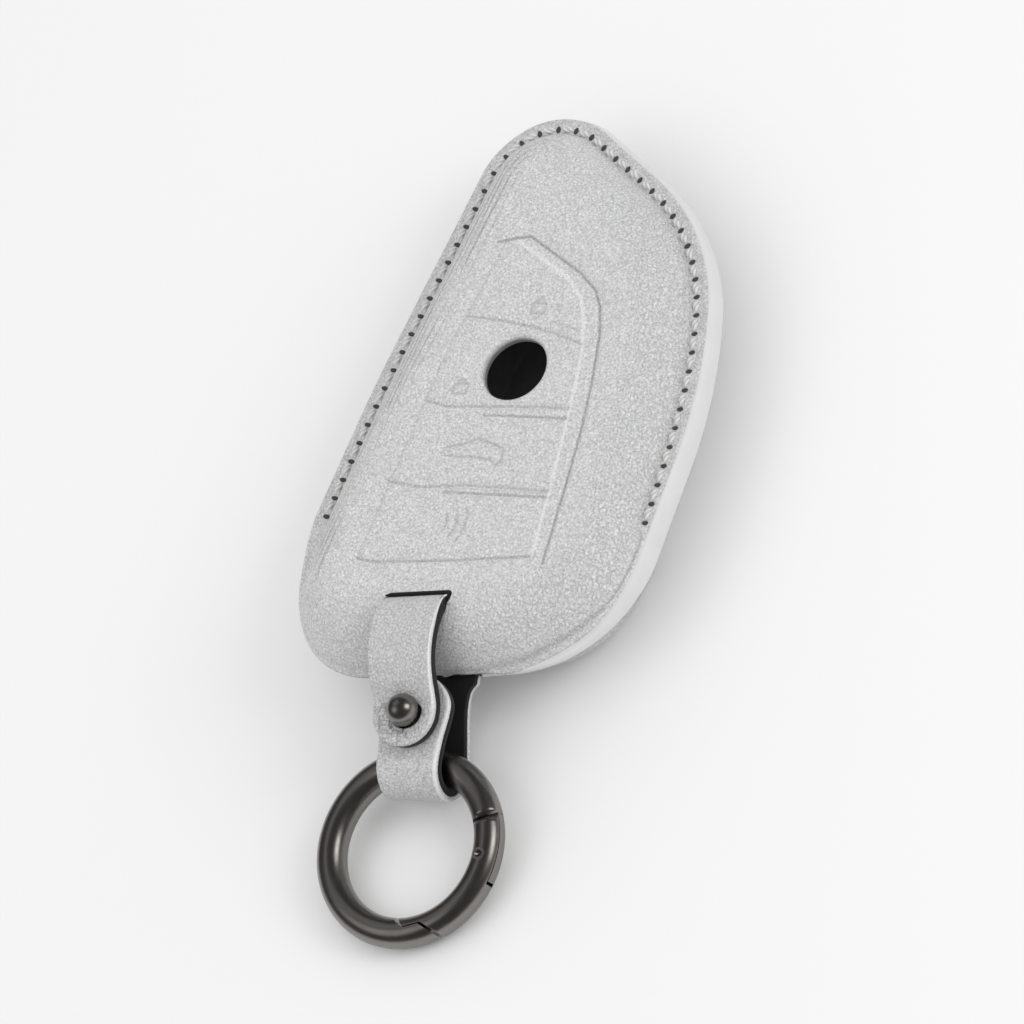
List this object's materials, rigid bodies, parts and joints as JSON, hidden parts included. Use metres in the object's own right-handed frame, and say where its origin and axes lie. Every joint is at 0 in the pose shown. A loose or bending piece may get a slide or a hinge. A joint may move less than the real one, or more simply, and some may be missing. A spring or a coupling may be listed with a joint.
{
  "type": "key fob cover",
  "caption": "Sewn leather cover for a car key fob: moulded front with a window, folding back flap, strap buttoned on a ball stud, leather loop and spring-gate ring.",
  "frame": {"origin": "on the flat of the back, under the middle of the sewn part of the case", "axes": "+X across the case, to the right seen from the front; +Y along it, away from the ring; +Z out of the front"},
  "size_m": [0.0626, 0.1386, 0.0222],
  "materials": {
    "grey_leather": "pebbled, semi-matt",
    "black_lining": "matt",
    "painted_edge": "smooth, edge-painted",
    "grey_thread": "bonded thread",
    "gunmetal": "satin plated",
    "spring_steel": "drawn wire"
  },
  "bodies": {
    "case": {"front_panel": "grey_leather", "front_lining": "black_lining", "back_panel": "grey_leather", "back_lining": "black_lining", "seam_welt": "grey_leather", "edge_band": "painted_edge", "seam_stitches": "grey_thread", "back_stitches": "grey_thread", "strap_root": "grey_leather"},
    "flap": {"back_flap": "grey_leather", "flap_lining": "black_lining", "flap_edge_band": "painted_edge", "ring_tab": "grey_leather", "ring_tab_lining": "black_lining", "stud": "gunmetal", "stud_screw": "gunmetal"},
    "strap": {"closure_strap": "grey_leather", "closure_strap_lining": "black_lining"},
    "ring": {"ring_body": "gunmetal", "gate_pin": "gunmetal"},
    "gate": {"ring_gate": "gunmetal", "gate_spring": "spring_steel"}
  },
  "joints": [
    {"name": "flap_fold", "type": "hinge", "parent": "case", "child": "flap", "pos_m": [0, -0.0225, 0], "axis": [1, 0, 0], "range_deg": [0, 30], "stiffness_Nm_per_rad": 0.02},
    {"name": "strap_lift", "type": "hinge", "parent": "case", "child": "strap", "pos_m": [-0.0042, -0.03879, 0.0202], "axis": [-1, 0, 0], "range_deg": [0, 70], "deforming": ["closure_strap", "closure_strap_lining"]},
    {"name": "ring_swing", "type": "hinge", "parent": "flap", "child": "ring", "pos_m": [-0.0042, -0.06021, 0.00654], "axis": [-1, 0, 0], "range_deg": [-50, 75]},
    {"name": "gate_open", "type": "hinge", "parent": "ring", "child": "gate", "pos_m": [0.00916, -0.07414, 0.00435], "axis": [0, 0.1548, -0.9879], "range_deg": [0, 25], "stiffness_Nm_per_rad": 0.02, "springref_deg": -20.05, "deforming": ["gate_spring"]}
  ],
  "couplings": [
    {"joint": "strap_lift", "follows": "flap_fold", "ratio": 2.3333}
  ]
}
